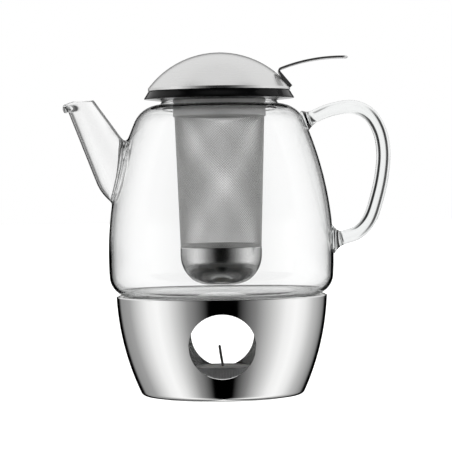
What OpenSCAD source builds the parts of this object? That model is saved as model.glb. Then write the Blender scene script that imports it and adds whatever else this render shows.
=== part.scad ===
// Glass teapot on a tealight warmer, with a hinged dome lid and a hanging mesh infuser.
// Millimetres. Z up. The origin is the centre of the warmer's foot, on the table.
// The spout points to -X and the handle to +X; the front window faces -Y.

/* [Warmer] */
// Height of the warmer's rim above the table
stand_h = 58; // [56.5:0.5:58.5]
// Largest outer radius that the warmer's side arc reaches
stand_r = 60.5; // [60:0.5:62]
// Radius of the warmer's side arc
stand_side_arc = 147.7; // [140:1:160]
// Thickness of the warmer's steel
stand_wall = 1.2; // [1:0.1:1.4]
// Radius of the two windows
window_r = 18.7; // [16:0.1:19]
// Height of the windows' centres
window_z = 31.2; // [30:0.1:33]

/* [Tealight] */
// Outer radius of the tealight's cup
tealight_r = 19; // [18.5:0.1:19.2]
// Height of the tealight's cup
tealight_h = 15.2; // [14:0.1:16]
// Height of the wick above the wax
wick_h = 13; // [8:0.5:14]
// Lean of the wick, in degrees
wick_lean = 8; // [0:1:10]

/* [Glass pot] */
// Widest outer radius of the pot
pot_r = 64.5; // [64:0.5:66]
// Height of the widest place above the table
pot_widest_z = 81; // [80:0.5:82]
// Radius of the pot's side arc
pot_side_arc = 193.5; // [190:1:198]
// Radius of the shoulder arc
pot_shoulder_arc = 17.2; // [16.8:0.1:17.6]
// Thickness of the glass
glass_t = 1.3; // [1.2:0.1:2]
// Outer radius of the neck
neck_r = 33; // [32.8:0.1:33.2]
// Radius of the foot that stands in the warmer
foot_r = 52.2; // [51:0.2:53]

/* [Handle] */
// Thickness of the handle in its own plane, at the grip
handle_t = 8; // [7:0.5:9]
// Width of the handle across its plane
handle_w = 11; // [10:0.5:13]

/* [Infuser] */
// Outer radius of the infuser's steel collar
collar_r = 26.6; // [26.2:0.1:26.6]
// Outer radius of the infuser's cup
cup_r = 23.3; // [23:0.1:23.5]
// Height of the seam between the mesh and the cup
cup_seam_z = 85.5; // [84:0.5:88]
// Height of the cup's lowest point
cup_bottom_z = 62.6; // [62:0.1:63.2]

/* [Lid] */
// Height of the dome's top above the table
dome_top_z = 196.8; // [196:0.2:198]
// Radius of the dome's arc
dome_arc = 51; // [50.5:0.1:51.5]
// Outer radius of the dome's lower edge
dome_edge_r = 40.7; // [40.5:0.1:40.8]
// Thickness of the dome's steel
dome_t = 0.8; // [0.7:0.1:0.9]
// Width of the thumb lever
lever_w = 14; // [12:1:16]

/* [Hidden] */

$fn = 96;
touch = 0.1;          // air left between bodies that rest on each other
far = 400;            // longer than anything here

// Warmer
stand_bottom_z = 0.6;                   // underside of the steel, above the foot ring
stand_side_z = 64.6;                    // height of the side arc's centre
stand_corner_z = 3.0;                   // where the side meets the bottom corner
stand_floor_z = stand_bottom_z + stand_wall;
foot_ring_r = [34, 40];                 // inner and outer radius of the non-slip ring
rest_t = 1;                             // thickness of the rest ring
rest_inner_r = 45;
vent_count = 24;
vent_r = 1.8;

// Tealight
locator_t = 0.6;
tealight_z = stand_floor_z + locator_t + touch;
tealight_wall = 0.4;
wax_z = tealight_z + tealight_h - 1.2;  // level of the wax
wick_r = 0.8;
tab_r = 6;
tab_t = 0.4;

// Glass pot
foot_z = 54.4;                          // underside of the pot's foot
foot_step = 1.6;                        // from the foot's side out to the bottom corner
foot_hollow = 2.2;                      // rise of the hollow under the pot's floor
foot_hollow_r = 46;
pot_floor_z = 58.6;                     // inner floor
pot_corner_arc = 12.4;
pot_corner_z = 69;                      // where the side meets the bottom corner
shoulder_z = 157;                       // where the side meets the shoulder
neck_fillet = 2.2;
neck_top_z = 172.2;

// Spout: a cone whose apex lies beyond its mouth, with a round heel at the pot
spout_apex = [-109, 222.5];             // in the XZ plane
spout_lean = 28.23;                     // the axis's angle to the vertical
spout_taper = 7.27;                     // half the cone's angle
spout_t = 1.2;
heel_at = 105.5;                        // where the heel starts, measured from the apex
heel_arc = 26;
mouth_z = 169.8;
mouth_lean = 4.4;                       // the mouth's plane rises towards the pot
lip_r = 1.9;
lip_reach = 7.6;                        // from the mouth's centre to the lip's bead
lip_drop = 2.6;                         // the bead's centre, below the mouth
lip_spread = 84;                        // the bead's share of a turn, in degrees

// Handle: the centreline's points in the XZ plane, from the upper joint to the lower one
handle_line = [
  [37, 152], [44, 155.3], [51, 158], [55, 159.8], [64, 163.2], [76, 164.7], [85.6, 160.5], [91.5, 151.1],
  [93.7, 139], [92.6, 125.5], [89.5, 112], [85.3, 100.3], [79, 93.2], [71.5, 90.3], [66, 89.3], [59, 89],
  [52, 89]
];
handle_steps = 4;                       // rings between two points
handle_sides = 16;
top_joint = [49, 157.3];                // where the handle's centreline meets the pot
low_joint = [64.2, 89.2];
top_flare = 3;                          // how far the glass swells at each joint
low_flare = 5.2;
flare_l = 6.5;

// Infuser and lid ring
rim_gap = 0.1;
ring_top_z = 174.6;
ring_ledge_z = 172.6;                   // where the collar's flange lies
ring_low_z = 169.3;                     // underside of the ring, round the neck
ring_spigot_z = 169.6;                  // underside of the part inside the neck
ring_edge_r = 40.9;                     // outer radius of the top face
ring_tip = [43, 170.6];                 // the flared lower edge
collar_wall = 0.5;
collar_bottom_z = 161;
flange_t = 0.8;
flange_r = 31.6;
mesh_t = 0.5;
mesh_top_z = 166;
mesh_top_r = collar_r - collar_wall - 0.05;
cup_t = 0.8;
cup_corner_arc = 18;
cup_corner_z = 81;                      // where the side meets the bottom corner
cup_spigot_h = 2;

// Lid
dome_edge_z = 175;
dome_skirt_z = 177.6;                   // where the skirt meets the dome's arc
hinge_at = [39.8, 172.9];               // the hinge's axis, in the XZ plane
hinge_pin_r = 0.7;
hinge_clearance = 0.05;
hinge_pin_l = 15;
knuckle_r = 1.5;
ring_knuckle_r = 1.85;
leaf_w = 8.6;
pocket_w = 9.2;
relief_w = 19;
lever_t = 1.2;
lever_arc = 97;                         // the thumb rest's arc
lever_top = [69.5, 193.3];              // the highest point of that arc
lever_tip_x = 73.3;
lever_bend_x = 36.04;                   // the bend's centre
lever_bend_r = 1.5;
lever_leg_tilt = 50.3;                  // the leg's slope, below the horizontal
lever_leg_l = 10.2;

// Points along the shorter arc of radius abs(r) from p to q; r > 0 turns left on the way.
function arc(p, q, r, n) =
  let (
    d = q - p, l = norm(d), h = sqrt(max(0, r * r - l * l / 4)),
    c = (p + q) / 2 + sign(r) * h * [-d.y, d.x] / l,
    a = atan2(p.y - c.y, p.x - c.x), b = atan2(q.y - c.y, q.x - c.x),
    turn = b - a > 180 ? b - a - 360 : b - a < -180 ? b - a + 360 : b - a
  )
  [for (i = [0:n]) c + abs(r) * [cos(a + turn * i / n), sin(a + turn * i / n)]];

// Radius at height z of a side that bulges to r at height z0 along an arc of radius a.
function bulge(z, r, a, z0) = r - a + sqrt(a * a - (z - z0) * (z - z0));

// The outward direction of that side at height z.
function bulge_normal(z, a, z0) = [sqrt(a * a - (z - z0) * (z - z0)), z - z0] / a;

function stand_side(z) = bulge(z, stand_r, stand_side_arc, stand_side_z);
function pot_side(z) = bulge(z, pot_r, pot_side_arc, pot_widest_z);
function dome_z(r) = dome_top_z - dome_arc + sqrt(dome_arc * dome_arc - r * r);

// Four-point Bezier blend through a list of points, n steps to each gap (Catmull-Rom).
function spline(points, n) = [
  for (i = [1:len(points) - 3], k = [0:n - 1])
    let (t = k / n, a = points[i - 1], b = points[i], c = points[i + 1], d = points[i + 2])
    0.5 * (2 * b + (c - a) * t + (2 * a - 5 * b + 4 * c - d) * t * t
      + (3 * b - a - 3 * c + d) * t * t * t)
];

// ---------- warmer ----------

stand_corner_out = [stand_side(stand_corner_z), stand_corner_z];
stand_corner_n = bulge_normal(stand_corner_z, stand_side_arc, stand_side_z);
stand_corner_arc = (stand_corner_z - stand_bottom_z) / (1 + stand_corner_n.y);
stand_corner_c = stand_corner_out - stand_corner_arc * stand_corner_n;
stand_rim_n = bulge_normal(stand_h, stand_side_arc, stand_side_z);

module stand_section() {
  rim_out = [stand_side(stand_h), stand_h - stand_wall / 2];
  rim_in = rim_out - [stand_wall, 0];
  corner_in = stand_corner_out - stand_wall * stand_corner_n;
  polygon(concat(
    [[0, stand_bottom_z]],
    arc([stand_corner_c.x, stand_bottom_z], stand_corner_out, stand_corner_arc, 8),
    arc(stand_corner_out, rim_out, stand_side_arc, 16),
    arc(rim_out, rim_in, stand_wall / 2 + 0.001, 6),
    arc(rim_in, corner_in, -(stand_side_arc - stand_wall), 16),
    arc(corner_in, [stand_corner_c.x, stand_floor_z], -(stand_corner_arc - stand_wall), 8),
    [[0, stand_floor_z]]
  ));
}

module stand_shell() {
  n = bulge_normal(window_z, stand_side_arc, stand_side_z);
  color("silver")
    difference() {
      rotate_extrude() stand_section();
      for (side = [0, 180])
        rotate([0, 0, side])
          translate([0, -stand_side(window_z), window_z])
            rotate([90 - atan2(n.y, n.x), 0, 0])
              cylinder(h = 40, r = window_r, center = true);
    }
}

module pot_rest_ring() {
  top = foot_z - touch;
  skirt_r = 58;
  skirt_z = 50;
  outer = stand_side(top - rest_t) - stand_wall - 0.05;
  vent_at = (foot_r + outer) / 2;
  color("silver")
    difference() {
      rotate_extrude()
        polygon([
          [rest_inner_r, top - rest_t], [skirt_r - rest_t, top - rest_t], [skirt_r - rest_t, skirt_z],
          [skirt_r, skirt_z], [skirt_r, top - rest_t], [outer, top - rest_t], [outer, top],
          [rest_inner_r, top]
        ]);
      for (i = [0:vent_count - 1])
        rotate([0, 0, (i + 0.5) * 360 / vent_count])
          translate([vent_at, 0, top - rest_t - 1])
            cylinder(h = rest_t + 2, r = vent_r, $fn = 24);
    }
}

module tealight_locator() {
  rim_r = tealight_r + 1.2;
  color("silver")
    translate([0, 0, stand_floor_z])
      difference() {
        cylinder(h = 3, r = rim_r + locator_t);
        translate([0, 0, locator_t]) cylinder(h = 3, r = rim_r);
        translate([0, 0, -1]) cylinder(h = 3, r = 8);
      }
}

module stand_foot_ring() {
  color("dimgray")
    rotate_extrude()
      translate([foot_ring_r[0], 0]) square([foot_ring_r[1] - foot_ring_r[0], stand_bottom_z]);
}

// ---------- tealight ----------

module tealight_cup() {
  top = tealight_z + tealight_h;
  color("gainsboro")
    rotate_extrude()
      polygon(concat(
        [[0, tealight_z], [tealight_r - 1, tealight_z]],
        arc([tealight_r - 1, tealight_z], [tealight_r, tealight_z + 1], 1, 4),
        arc([tealight_r, top - 0.7], [tealight_r - tealight_wall, top - 0.2], 0.45, 6),
        [[tealight_r - tealight_wall, tealight_z + tealight_wall], [0, tealight_z + tealight_wall]]
      ));
}

module wick_tab() {
  color("gainsboro")
    translate([0, 0, tealight_z + tealight_wall])
      difference() {
        union() {
          cylinder(h = tab_t, r = tab_r);
          cylinder(h = 3, r = wick_r + 0.5);
        }
        translate([0, 0, tab_t]) cylinder(h = 3, r = wick_r);
      }
}

module tealight_wax() {
  bottom = tealight_z + tealight_wall;
  wax_r = tealight_r - tealight_wall;
  color("ivory")
    difference() {
      rotate_extrude()
        polygon(concat(
          [[0, bottom], [wax_r, bottom], [wax_r, wax_z + 0.5]],
          arc([wax_r, wax_z + 0.5], [wax_r - 1.6, wax_z], -1.8, 4),
          [[0, wax_z]]
        ));
      translate([0, 0, bottom - 1]) cylinder(h = tab_t + 1, r = tab_r);
      translate([0, 0, bottom - 1]) cylinder(h = 4, r = wick_r + 0.5);
      translate([0, 0, bottom - 1]) cylinder(h = far, r = wick_r);
    }
}

module tealight_wick() {
  bottom = tealight_z + tealight_wall + tab_t;
  knee = wax_z + 0.6;
  color("dimgray")
    union() {
      translate([0, 0, bottom]) cylinder(h = knee - bottom, r = wick_r);
      translate([0, 0, knee - 0.3]) rotate([0, -wick_lean, 0]) cylinder(h = wick_h - 0.3, r = wick_r - 0.05);
    }
}

// ---------- glass pot ----------

pot_corner_p = [pot_side(pot_corner_z), pot_corner_z];
pot_corner_n = bulge_normal(pot_corner_z, pot_side_arc, pot_widest_z);
pot_corner_c = pot_corner_p - pot_corner_arc * pot_corner_n;
pot_shoulder_p = [pot_side(shoulder_z), shoulder_z];
pot_shoulder_n = bulge_normal(shoulder_z, pot_side_arc, pot_widest_z);
pot_shoulder_c = pot_shoulder_p - pot_shoulder_arc * pot_shoulder_n;

// The neck's fillet is a circle that touches the shoulder arc and the neck.
neck_fillet_c =
  let (x = neck_r + neck_fillet, reach = pot_shoulder_arc + neck_fillet, dx = x - pot_shoulder_c.x)
  [x, pot_shoulder_c.y + sqrt(reach * reach - dx * dx)];

// Where the shoulder and the fillet meet, on the surface that lies t inside the outer one.
function neck_joint(t) =
  pot_shoulder_c + (pot_shoulder_arc - t) * (neck_fillet_c - pot_shoulder_c)
    / norm(neck_fillet_c - pot_shoulder_c);

// The pot's outline from the bottom corner to the neck, t inside the outer surface.
function pot_outline(t) =
  let (
    low = sqrt(pow(pot_corner_arc - t, 2) - pow(foot_r + foot_step - pot_corner_c.x, 2))
  )
  concat(
    arc([foot_r + foot_step, pot_corner_c.y - low], pot_corner_p - t * pot_corner_n, pot_corner_arc - t, 8),
    arc(pot_corner_p - t * pot_corner_n, pot_shoulder_p - t * pot_shoulder_n, pot_side_arc - t, 16),
    arc(pot_shoulder_p - t * pot_shoulder_n, neck_joint(t), pot_shoulder_arc - t, 10),
    arc(neck_joint(t), [neck_r - t, neck_fillet_c.y], -(neck_fillet + t), 5)
  );

function reverse(list) = [for (i = [len(list) - 1:-1:0]) list[i]];

module pot_outside() {
  rotate_extrude()
    polygon(concat([[0, foot_z]], [[foot_r, foot_z]], pot_outline(0), [[0, neck_fillet_c.y]]));
}

// The spout as if it were solid, t inside its outer surface, from a distance beyond its mouth.
module spout_solid(t, from) {
  tilt = [cos(spout_taper), -sin(spout_taper)];
  heel_c = [heel_at * tan(spout_taper), heel_at] - heel_arc * tilt;
  tip = heel_c.y + sqrt(pow(heel_arc - t, 2) - pow(heel_c.x, 2));
  translate([spout_apex.x, 0, spout_apex.y])
    rotate([0, 180 - spout_lean, 0])
      rotate_extrude()
        polygon(concat(
          [[0, from], [from * tan(spout_taper) - t / cos(spout_taper), from]],
          arc(heel_c + (heel_arc - t) * tilt, [0, tip], heel_arc - t, 10)
        ));
}

module glass_body() {
  foot_edge = 1.2;
  rim_arc = glass_t / 2;
  rim_z = neck_top_z - rim_arc;
  color("azure", 0.3)
    difference() {
      rotate_extrude()
        polygon(concat(
          [[0, foot_z + foot_hollow], [foot_hollow_r, foot_z + foot_hollow]],
          arc([foot_hollow_r, foot_z + foot_hollow], [foot_hollow_r + 2.4, foot_z], -3, 4),
          arc([foot_r - foot_edge, foot_z], [foot_r, foot_z + foot_edge], foot_edge, 4),
          arc([foot_r, foot_z + foot_edge + 0.6], pot_outline(0)[0], -foot_step, 3),
          pot_outline(0),
          arc([neck_r, rim_z], [neck_r - glass_t, rim_z], rim_arc + 0.001, 6),
          reverse(pot_outline(glass_t)),
          [[pot_corner_c.x, pot_floor_z], [0, pot_floor_z]]
        ));
      spout_solid(spout_t, 80);
    }
}

module glass_spout() {
  mouth_x = spout_apex.x + (spout_apex.y - mouth_z) * tan(spout_lean);
  color("azure", 0.3)
    difference() {
      union() {
        spout_solid(0, 50);
        translate([mouth_x, 0, mouth_z - lip_drop])
          rotate([0, -mouth_lean * 2, 0])
            rotate([0, 0, 180 - lip_spread / 2])
              rotate_extrude(angle = lip_spread)
                translate([lip_reach, 0]) circle(r = lip_r);
      }
      spout_solid(spout_t, 45);
      pot_outside();
      translate([mouth_x, 0, mouth_z])
        rotate([0, -mouth_lean, 0])
          translate([-30, -30, 0]) cube([60, 60, 60]);
    }
}

// One oval ring of the handle around p, whose path runs along d; s scales its size.
function handle_ring(p, d, s) =
  let (u = [-d.y, d.x] / norm(d))
  [for (k = [0:handle_sides - 1])
    let (a = 360 * k / handle_sides, in_plane = s * handle_t / 2 * cos(a))
    [p.x + u.x * in_plane, s * handle_w / 2 * sin(a), p.y + u.y * in_plane]];

// How far the glass swells near a joint, falling away along a curve.
function flare(p, joint, size) = size * pow(max(0, 1 - norm(p - joint) / flare_l), 2);

// The handle's scale at p: slimmer towards its upper end, and swollen where it is fused.
function handle_scale(p, share) =
  0.86 + 0.14 * min(1, share / 0.35)
    + 2 * (flare(p, top_joint, top_flare) + flare(p, low_joint, low_flare)) / handle_t;

module glass_handle() {
  line = spline(handle_line, handle_steps);
  last = len(line) - 1;
  rings = [for (i = [0:last])
    handle_ring(line[i], line[min(i + 1, last)] - line[max(i - 1, 0)], handle_scale(line[i], i / last))];
  color("azure", 0.3)
    difference() {
      polyhedron(
        points = [for (ring = rings, p = ring) p],
        faces = concat(
          [[for (k = [0:handle_sides - 1]) k]],
          [[for (k = [handle_sides - 1:-1:0]) last * handle_sides + k]],
          [for (i = [0:last - 1], k = [0:handle_sides - 1])
            let (n = (k + 1) % handle_sides)
            each [
              [i * handle_sides + k, (i + 1) * handle_sides + k, i * handle_sides + n],
              [i * handle_sides + n, (i + 1) * handle_sides + k, (i + 1) * handle_sides + n]
            ]]
        )
      );
      pot_outside();
    }
}

// ---------- infuser and lid ring ----------

module hinge_rod(r, length) {
  translate([hinge_at.x, 0, hinge_at.y])
    rotate([90, 0, 0])
      cylinder(h = length, r = r, center = true, $fn = 48);
}

module lid_ring() {
  drill_run = 7;
  neck_room_r = neck_r + 0.6;
  spigot_r = neck_r - glass_t - 0.7;
  inner_r = collar_r + 0.1;
  seat_z = neck_top_z + rim_gap;
  color([0.08, 0.08, 0.08])
    difference() {
      rotate_extrude()
        polygon(concat(
          [[flange_r + 0.2, ring_top_z], [ring_edge_r, ring_top_z]],
          [ring_tip, ring_tip - [0.3, 0.3]],
          [[neck_room_r + 0.6, ring_low_z], [neck_room_r, ring_low_z + 0.4], [neck_room_r, seat_z]],
          [[spigot_r, seat_z], [spigot_r, ring_spigot_z], [inner_r, ring_spigot_z]],
          [[inner_r, ring_ledge_z], [flange_r + 0.2, ring_ledge_z]]
        ));
      // the pocket for the leaf's knuckle, open upwards and outwards
      hinge_rod(ring_knuckle_r + 0.2, pocket_w);
      translate([hinge_at.x - ring_knuckle_r - 0.2, -pocket_w / 2, hinge_at.y]) cube([9, pocket_w, 9]);
      // the dome's edge turns down over rounded knuckles
      difference() {
        translate([hinge_at.x, -relief_w / 2, hinge_at.y]) cube([9, relief_w, 9]);
        hinge_rod(ring_knuckle_r, relief_w + 2);
      }
      // the pin's hole is drilled from one side
      translate([0, drill_run / 2, 0]) hinge_rod(hinge_pin_r, hinge_pin_l + drill_run);
    }
}

module hinge_pin() {
  color("silver") hinge_rod(hinge_pin_r, hinge_pin_l);
}

module neck_gasket() {
  inner = neck_r - glass_t - 0.7;
  low = ring_spigot_z + 0.2;
  rib = 0.4;                            // each rib's height and half its pitch
  color([0.12, 0.12, 0.12])
    rotate_extrude()
      polygon([
        [inner, low], [inner + 0.5, low + rib], [inner + 0.1, low + 2 * rib],
        [inner + 0.5, low + 3 * rib], [inner + 0.1, low + 4 * rib], [inner, low + 4.5 * rib]
      ]);
}

module strainer_collar() {
  inner = collar_r - collar_wall;
  color("silver")
    rotate_extrude()
      polygon(concat(
        [[inner, collar_bottom_z], [collar_r, collar_bottom_z], [collar_r, ring_ledge_z]],
        [[flange_r, ring_ledge_z], [flange_r, ring_ledge_z + flange_t]],
        arc([inner + 1.2, ring_ledge_z + flange_t], [inner, ring_ledge_z - 0.4], 1.2, 4)
      ));
}

module strainer_mesh() {
  color("darkgray")
    rotate_extrude()
      polygon([
        [cup_r - mesh_t, cup_seam_z], [cup_r, cup_seam_z],
        [mesh_top_r, mesh_top_z], [mesh_top_r - mesh_t, mesh_top_z]
      ]);
}

// The cup's outline from its bottom centre up to the seam, t inside the outer surface.
cup_corner_c = [cup_r - cup_corner_arc, cup_corner_z];
cup_bottom_arc =
  (pow(cup_corner_c.x, 2) + pow(cup_corner_c.y - cup_bottom_z, 2) - pow(cup_corner_arc, 2))
    / (2 * (cup_corner_c.y - cup_bottom_z - cup_corner_arc));
cup_bottom_c = [0, cup_bottom_z + cup_bottom_arc];
cup_join_n = (cup_corner_c - cup_bottom_c) / norm(cup_corner_c - cup_bottom_c);

function cup_outline(t) = concat(
  arc([0, cup_bottom_z + t], cup_bottom_c + (cup_bottom_arc - t) * cup_join_n, cup_bottom_arc - t, 6),
  arc(cup_corner_c + (cup_corner_arc - t) * cup_join_n, [cup_r - t, cup_corner_c.y], cup_corner_arc - t, 10)
);

module strainer_cup() {
  spigot_r = cup_r - mesh_t - 0.1;
  spigot_in = cup_r - cup_t - 0.4;
  color("silver")
    rotate_extrude()
      polygon(concat(
        cup_outline(0),
        [[cup_r, cup_seam_z], [spigot_r, cup_seam_z], [spigot_r, cup_seam_z + cup_spigot_h]],
        [[spigot_in, cup_seam_z + cup_spigot_h], [spigot_in, cup_seam_z - 1]],
        reverse(cup_outline(cup_t))
      ));
}

// ---------- lid ----------

dome_skirt_r = sqrt(pow(dome_arc, 2) - pow(dome_skirt_z - dome_top_z + dome_arc, 2));

// The dome's outline from its top centre down to the edge, t inside the outer surface.
function dome_outline(t) =
  let (n = [dome_skirt_r, dome_skirt_z - dome_top_z + dome_arc] / dome_arc)
  concat(
    arc([0, dome_top_z - t], [dome_skirt_r, dome_skirt_z] - t * n, -(dome_arc - t), 20),
    [[dome_edge_r - t, dome_edge_z]]
  );

module dome_solid(t) {
  rotate_extrude() polygon(concat(dome_outline(t), [[0, dome_edge_z]]));
}

module lid_dome() {
  color("lightgray")
    rotate_extrude()
      polygon(concat(dome_outline(0), reverse(dome_outline(dome_t))));
}

module hinge_leaf() {
  leaf_t = 0.8;
  leaf_top_z = 183;
  band_out = [for (p = dome_outline(dome_t)) if (p.y < leaf_top_z) p];
  band_in = [for (p = dome_outline(dome_t + leaf_t)) if (p.y < leaf_top_z) p];
  out_end = band_out[len(band_out) - 1];
  in_end = band_in[len(band_in) - 1];
  color("silver")
    difference() {
      union() {
        intersection() {
          rotate_extrude()
            polygon(concat(
              band_out, [[out_end.x, hinge_at.y]], [[in_end.x, hinge_at.y]], reverse(band_in)
            ));
          translate([30, -leaf_w / 2, hinge_at.y]) cube([20, leaf_w, 20]);
        }
        hinge_rod(knuckle_r, leaf_w);
      }
      hinge_rod(hinge_pin_r + hinge_clearance, leaf_w + 2);
    }
}

// The lever's side view: a thumb rest, a tight bend and a straight leg that lies on the dome.
module lever_section() {
  half = lever_t / 2;
  rest_c = lever_top - [0, lever_arc];
  tip_z = rest_c.y + sqrt(pow(lever_arc, 2) - pow(lever_tip_x - rest_c.x, 2));
  bend_rise = sqrt(pow(lever_arc - lever_bend_r, 2) - pow(lever_bend_x - rest_c.x, 2));
  bend_c = [lever_bend_x, rest_c.y + bend_rise];
  up = (bend_c - rest_c) / (lever_arc - lever_bend_r);
  out = [sin(lever_leg_tilt), cos(lever_leg_tilt)];
  leg_end = bend_c - (lever_bend_r - half) * out + lever_leg_l * [out.y, -out.x];
  in_dome = 2;
  polygon(concat(
    arc([lever_tip_x, tip_z - half], [lever_tip_x, tip_z + half], half + 0.01, 4),
    arc([lever_tip_x, tip_z + half], rest_c + (lever_arc + half) * up, lever_arc + half, 12),
    arc(rest_c + (lever_arc + half) * up, bend_c - (lever_bend_r + half) * out, lever_bend_r + half, 8),
    [bend_c - (lever_bend_r + in_dome) * out, leg_end - in_dome * out, leg_end],
    arc(bend_c - (lever_bend_r - half) * out, rest_c + (lever_arc - half) * up, -(lever_bend_r - half), 6),
    arc(rest_c + (lever_arc - half) * up, [lever_tip_x, tip_z - half], -(lever_arc - half), 12)
  ));
}

module lid_lever() {
  color("dimgray")
    difference() {
      translate([0, lever_w / 2, 0])
        rotate([90, 0, 0])
          linear_extrude(lever_w) lever_section();
      dome_solid(0);
    }
}

stand_shell();
pot_rest_ring();
tealight_locator();
stand_foot_ring();
tealight_cup();
tealight_wax();
tealight_wick();
wick_tab();
glass_body();
glass_spout();
glass_handle();
lid_ring();
neck_gasket();
hinge_pin();
strainer_collar();
strainer_mesh();
strainer_cup();
lid_dome();
lid_lever();
hinge_leaf();
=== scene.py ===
"""The looks of a glass teapot on its tealight warmer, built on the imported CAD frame.

Lengths in this script are in millimetres; the mesh builder turns them into metres.
Z is up, the spout points to -X and the handle to +X, and the camera looks along +Y.
"""

import math

import bmesh
import bpy
import numpy as np
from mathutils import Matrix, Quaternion, Vector


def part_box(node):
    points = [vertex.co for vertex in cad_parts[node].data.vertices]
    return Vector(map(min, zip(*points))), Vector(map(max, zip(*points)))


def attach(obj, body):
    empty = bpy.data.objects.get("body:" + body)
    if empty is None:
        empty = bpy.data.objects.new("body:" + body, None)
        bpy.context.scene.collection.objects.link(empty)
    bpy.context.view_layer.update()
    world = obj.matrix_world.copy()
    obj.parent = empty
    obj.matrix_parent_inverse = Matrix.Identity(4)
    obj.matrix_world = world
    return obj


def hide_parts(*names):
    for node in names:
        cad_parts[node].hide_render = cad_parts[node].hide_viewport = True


MM = 0.001
SEGMENTS = 192

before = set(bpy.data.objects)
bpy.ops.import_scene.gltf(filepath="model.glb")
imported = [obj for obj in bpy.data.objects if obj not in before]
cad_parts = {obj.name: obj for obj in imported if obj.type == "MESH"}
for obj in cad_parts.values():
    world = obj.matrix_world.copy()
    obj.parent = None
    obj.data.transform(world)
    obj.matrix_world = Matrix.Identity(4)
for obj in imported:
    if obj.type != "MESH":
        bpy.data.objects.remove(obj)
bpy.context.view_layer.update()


# ---------- sizes, from the frame ----------

def corners(node):
    """Lowest and highest corner of a CAD node, in millimetres."""
    low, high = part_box(node)
    return np.array(low) / MM, np.array(high) / MM


stand_low, stand_high = corners("stand_shell")
locator_low, locator_high = corners("tealight_locator")
rest_low, rest_high = corners("pot_rest_ring")
foot_high = corners("stand_foot_ring")[1]
candle_low, candle_high = corners("tealight_cup")
wax_low, wax_high = corners("tealight_wax")
wick_low, wick_high = corners("tealight_wick")
pot_low, pot_high = corners("glass_body")
ring_low, ring_high = corners("lid_ring")
gasket_low, gasket_high = corners("neck_gasket")
collar_low, collar_high = corners("strainer_collar")
sleeve_low, sleeve_high = corners("strainer_mesh")
cup_low, cup_high = corners("strainer_cup")
dome_low, dome_high = corners("lid_dome")
pin_low, pin_high = corners("hinge_pin")


# ---------- curves ----------

def arc(p, q, radius, steps):
    """Points along the shorter arc from p to q; a positive radius turns left on the way."""
    p = np.array(p, float)
    q = np.array(q, float)
    across = q - p
    length = math.hypot(*across)
    height = math.sqrt(max(0.0, radius * radius - length * length / 4))
    centre = (p + q) / 2 + math.copysign(height, radius) * np.array([-across[1], across[0]]) / length
    start = math.atan2(p[1] - centre[1], p[0] - centre[0])
    end = math.atan2(q[1] - centre[1], q[0] - centre[0])
    turn = (end - start + math.pi) % (2 * math.pi) - math.pi
    angles = start + turn * np.linspace(0, 1, steps + 1)
    return [(centre[0] + abs(radius) * math.cos(a), centre[1] + abs(radius) * math.sin(a)) for a in angles]


def line(p, q, steps):
    """Points along the straight line from p to q."""
    return [tuple(point) for point in np.linspace(p, q, steps + 1)]


def spline(points, steps):
    """A smooth curve through all the points but the first and the last (Catmull-Rom)."""
    points = np.array(points, float)
    curve = []
    for a, b, c, d in zip(points, points[1:], points[2:], points[3:]):
        for t in np.linspace(0, 1, steps, endpoint=False):
            curve.append(0.5 * (2 * b + (c - a) * t + (2 * a - 5 * b + 4 * c - d) * t**2
                                + (3 * b - a - 3 * c + d) * t**3))
    curve.append(points[-2])
    return np.array(curve)


class Side:
    """A side that bulges to radius r at height z along an arc of radius reach."""

    def __init__(self, r, z, reach):
        self.centre = np.array([r - reach, z])
        self.reach = reach

    def at(self, z, inset=0.0):
        """The radius at height z, inset from the outer surface."""
        rise = z - self.centre[1]
        return self.centre[0] + math.sqrt((self.reach - inset) ** 2 - rise * rise)

    def normal(self, z):
        """The outward direction at the outer surface's point of height z."""
        return (np.array([self.at(z), z]) - self.centre) / self.reach


# ---------- mesh builders ----------

def skin(name, rings, closed=False):
    """An object whose surface joins rings of points; closed joins the last ring to the first."""
    rings = np.array(rings, float) * MM
    count, around = rings.shape[:2]
    mesh = bmesh.new()
    rows = [[mesh.verts.new(point) for point in ring] for ring in rings]
    for i in range(count if closed else count - 1):
        low = rows[i]
        high = rows[(i + 1) % count]
        for k in range(around):
            n = (k + 1) % around
            mesh.faces.new((low[k], low[n], high[n], high[k]))
    if not closed:
        mesh.faces.new(reversed(rows[0]))
        mesh.faces.new(rows[-1])
    bmesh.ops.remove_doubles(mesh, verts=mesh.verts, dist=1e-7)
    bmesh.ops.dissolve_degenerate(mesh, edges=mesh.edges, dist=1e-8)
    bmesh.ops.recalc_face_normals(mesh, faces=mesh.faces)
    data = bpy.data.meshes.new(name)
    mesh.to_mesh(data)
    mesh.free()
    piece = bpy.data.objects.new(name, data)
    bpy.context.scene.collection.objects.link(piece)
    return piece


def tidy(profile):
    """The profile without points that repeat the one before."""
    kept = []
    for point in profile:
        if not kept or math.dist(point, kept[-1]) > 1e-4:
            kept.append(point)
    if math.dist(kept[0], kept[-1]) < 1e-4:
        kept.pop()
    return kept


def lathe(name, profile, segments=SEGMENTS, shape=None):
    """The solid that a closed profile of (radius, height) sweeps about Z. shape(angle, r, z) may move r."""
    angles = np.arange(segments) * 2 * math.pi / segments
    rings = []
    for r, z in tidy(profile):
        radius = np.full(segments, r) if shape is None else shape(angles, r, z)
        rings.append(np.stack([radius * np.cos(angles), radius * np.sin(angles), np.full(segments, z)], 1))
    return skin(name, rings, closed=True)


def rod(name, start, end, radius, sides=64):
    """A round rod between two points."""
    start = Vector(start)
    end = Vector(end)
    turn = (end - start).to_track_quat("Z", "Y")
    rings = []
    for point in (start, end):
        ring = []
        for k in range(sides):
            angle = 2 * math.pi * k / sides
            ring.append(point + turn @ Vector((radius * math.cos(angle), radius * math.sin(angle), 0)))
        rings.append(ring)
    return skin(name, rings)


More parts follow.
